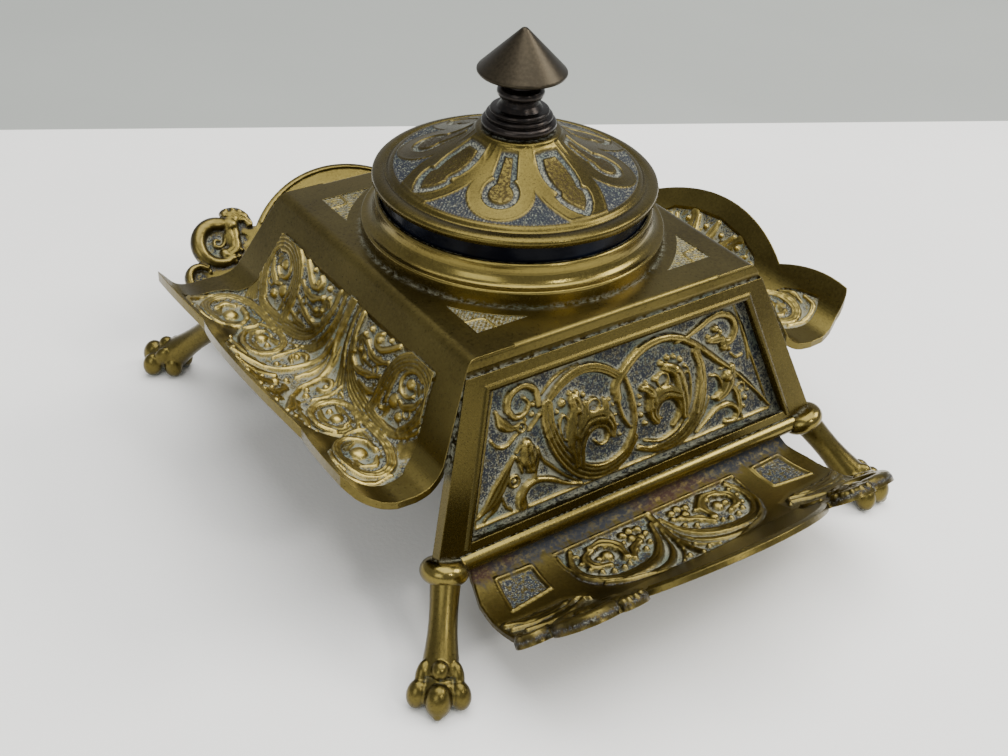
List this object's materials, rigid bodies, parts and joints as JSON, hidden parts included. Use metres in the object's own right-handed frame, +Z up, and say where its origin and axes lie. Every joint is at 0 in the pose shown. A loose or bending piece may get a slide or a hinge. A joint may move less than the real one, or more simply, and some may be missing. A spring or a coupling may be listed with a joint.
{
  "type": "desk inkstand",
  "caption": "Brass desk inkstand: saddle body with lobed trough wings, framed scroll panels, paw legs, pen trays, drop-in ink pot and domed lid.",
  "frame": {"origin": "on the desk, under the centre of the body", "axes": "+X along the front rail, +Y from the front tray to the back tray, +Z up"},
  "size_m": [0.1562, 0.204, 0.1162],
  "materials": {
    "cast_brass": "aged cast brass, darkened in the hollows, bright on the edges",
    "turned_brass": "aged turned brass, satin",
    "relief_brass": "cast relief with blue-black grime and pale polish residue in the ground",
    "dark_bronze": "black-brown patina, worn on the rings",
    "brown_bronze": "matte brown patina",
    "pot_glaze": "glossy blue-black glaze",
    "screw_brass": "plain turned brass"
  },
  "bodies": {
    "stand": {"saddle": "cast_brass", "well_collar": "turned_brass", "front_frame": "cast_brass", "back_frame": "cast_brass", "front_panel": "relief_brass", "back_panel": "relief_brass", "front_rail": "turned_brass", "back_rail": "turned_brass", "front_left_ring": "turned_brass", "front_right_ring": "turned_brass", "back_left_ring": "turned_brass", "back_right_ring": "turned_brass", "front_left_leg": "cast_brass", "front_right_leg": "cast_brass", "back_left_leg": "cast_brass", "back_right_leg": "cast_brass", "front_tray": "cast_brass", "back_tray": "cast_brass", "saddle_screws": "screw_brass", "front_tray_screws": "screw_brass", "back_tray_screws": "screw_brass"},
    "pot": {"ink_pot": "pot_glaze"},
    "lid": {"lid_dome": "cast_brass", "lid_flange": "turned_brass", "finial_stem": "dark_bronze", "finial_cone": "brown_bronze", "finial_stud": "screw_brass", "finial_nut": "screw_brass"}
  },
  "joints": [
    {"name": "pot_lift", "type": "slide", "parent": "stand", "child": "pot", "axis": [0, 0, 1], "range_m": [0, 0.06]},
    {"name": "lid_lift", "type": "slide", "parent": "pot", "child": "lid", "axis": [0, 0, 1], "range_m": [0, 0.03]}
  ]
}
